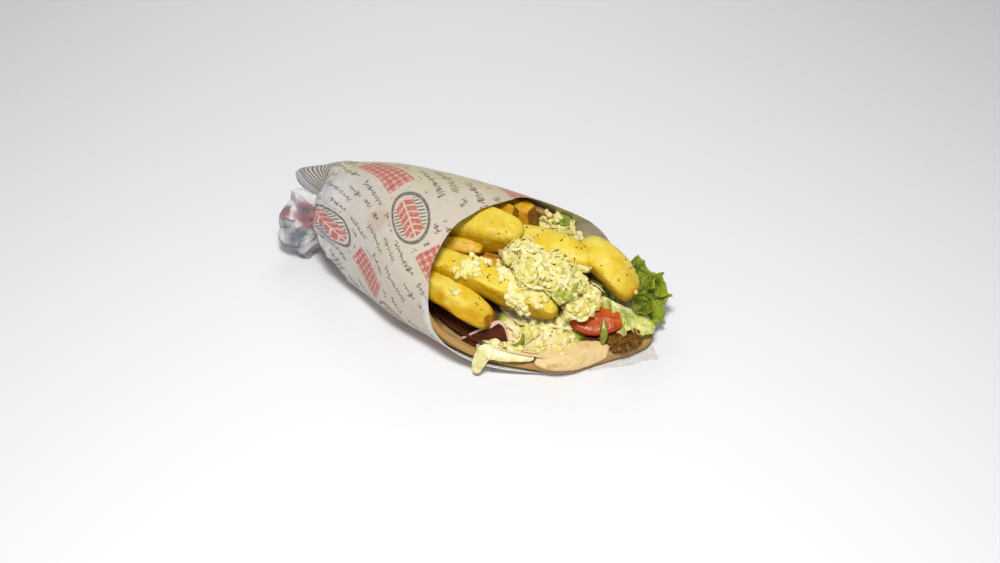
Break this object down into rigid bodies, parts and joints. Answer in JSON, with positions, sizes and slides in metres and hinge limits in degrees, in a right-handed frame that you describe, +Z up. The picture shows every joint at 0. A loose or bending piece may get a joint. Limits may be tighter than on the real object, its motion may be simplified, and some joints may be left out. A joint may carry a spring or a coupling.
{
  "type": "vegetarian pita gyro",
  "caption": "Vegetarian pita gyro lying on its back in a printed paper wrap twisted at one end, with potato wedges, crumbled cheese and salad at the open end.",
  "frame": {"origin": "under the middle of the bounding box, on the surface that the wrap lies on", "axes": "+X along the wrap from the twisted tail to the open end, +Y away from the low lip of the bread, +Z up"},
  "size_m": [0.2492, 0.11, 0.0648],
  "materials": {
    "printed_paper": "greaseproof, softly creased",
    "flatbread": "dry, lightly browned",
    "fried_potato": "satin, oily",
    "feta_and_cabbage": "matt, crumbly",
    "shredded_salad": "moist",
    "lettuce": "satin",
    "pale_lettuce": "satin",
    "tomato": "wet",
    "red_onion": "satin",
    "white_onion": "wet",
    "green_pepper": "satin",
    "pickle": "wet",
    "vegetable_patty": "rough, fried"
  },
  "bodies": {
    "root": {"paper_wrap": "printed_paper", "pita": "flatbread", "potato_wedge_big": "fried_potato", "potato_wedge_long": "fried_potato", "potato_wedge_mid": "fried_potato", "potato_wedge_end": "fried_potato", "potato_wedge_near": "fried_potato", "potato_wedge_back": "fried_potato", "potato_wedge_rear": "fried_potato", "potato_wedge_small": "fried_potato", "potato_wedge_under": "fried_potato", "tomato_slice": "tomato", "pickle_slice": "pickle", "vegetable_patty": "vegetable_patty", "red_onion": "red_onion", "onion_inner": "white_onion", "pepper_strip_near": "green_pepper", "pepper_strip_front": "green_pepper", "cabbage_shred": "feta_and_cabbage", "lettuce_leaf": "lettuce", "lettuce_leaf_pale": "pale_lettuce", "feta_heap": "feta_and_cabbage", "salad_bed": "shredded_salad"}
  },
  "joints": []
}
